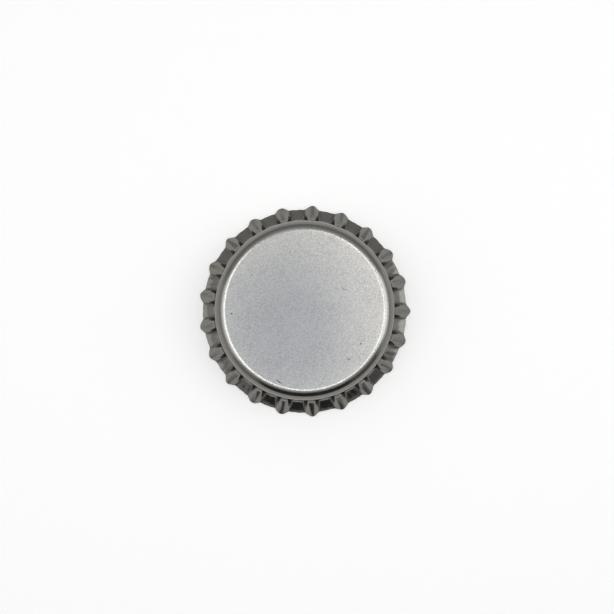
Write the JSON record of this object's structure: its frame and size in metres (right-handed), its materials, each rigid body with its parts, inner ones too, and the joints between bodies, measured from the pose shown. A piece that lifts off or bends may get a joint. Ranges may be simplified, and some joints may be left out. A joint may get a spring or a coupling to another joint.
{
  "type": "crown bottle cap",
  "caption": "Uncrimped tinplate crown cap: flat panel, rolled shoulder, flared skirt with a toothed rim, and a beaded sealing liner inside.",
  "frame": {"origin": "centre of the rim's plane, on the axis of the cap; the cap stands on its rim", "axes": "+Z along the axis, out of the top of the panel; +X through the tip of one tooth"},
  "size_m": [0.0319, 0.032, 0.006],
  "materials": {
    "tinplate": "bare tinplate with a fine satin grain, brighter on the rolled shoulder",
    "liner_compound": "moulded translucent off-white sealing compound, semi-gloss"
  },
  "bodies": {
    "root": {"crown_shell": "tinplate", "sealing_liner": "liner_compound"}
  },
  "joints": []
}
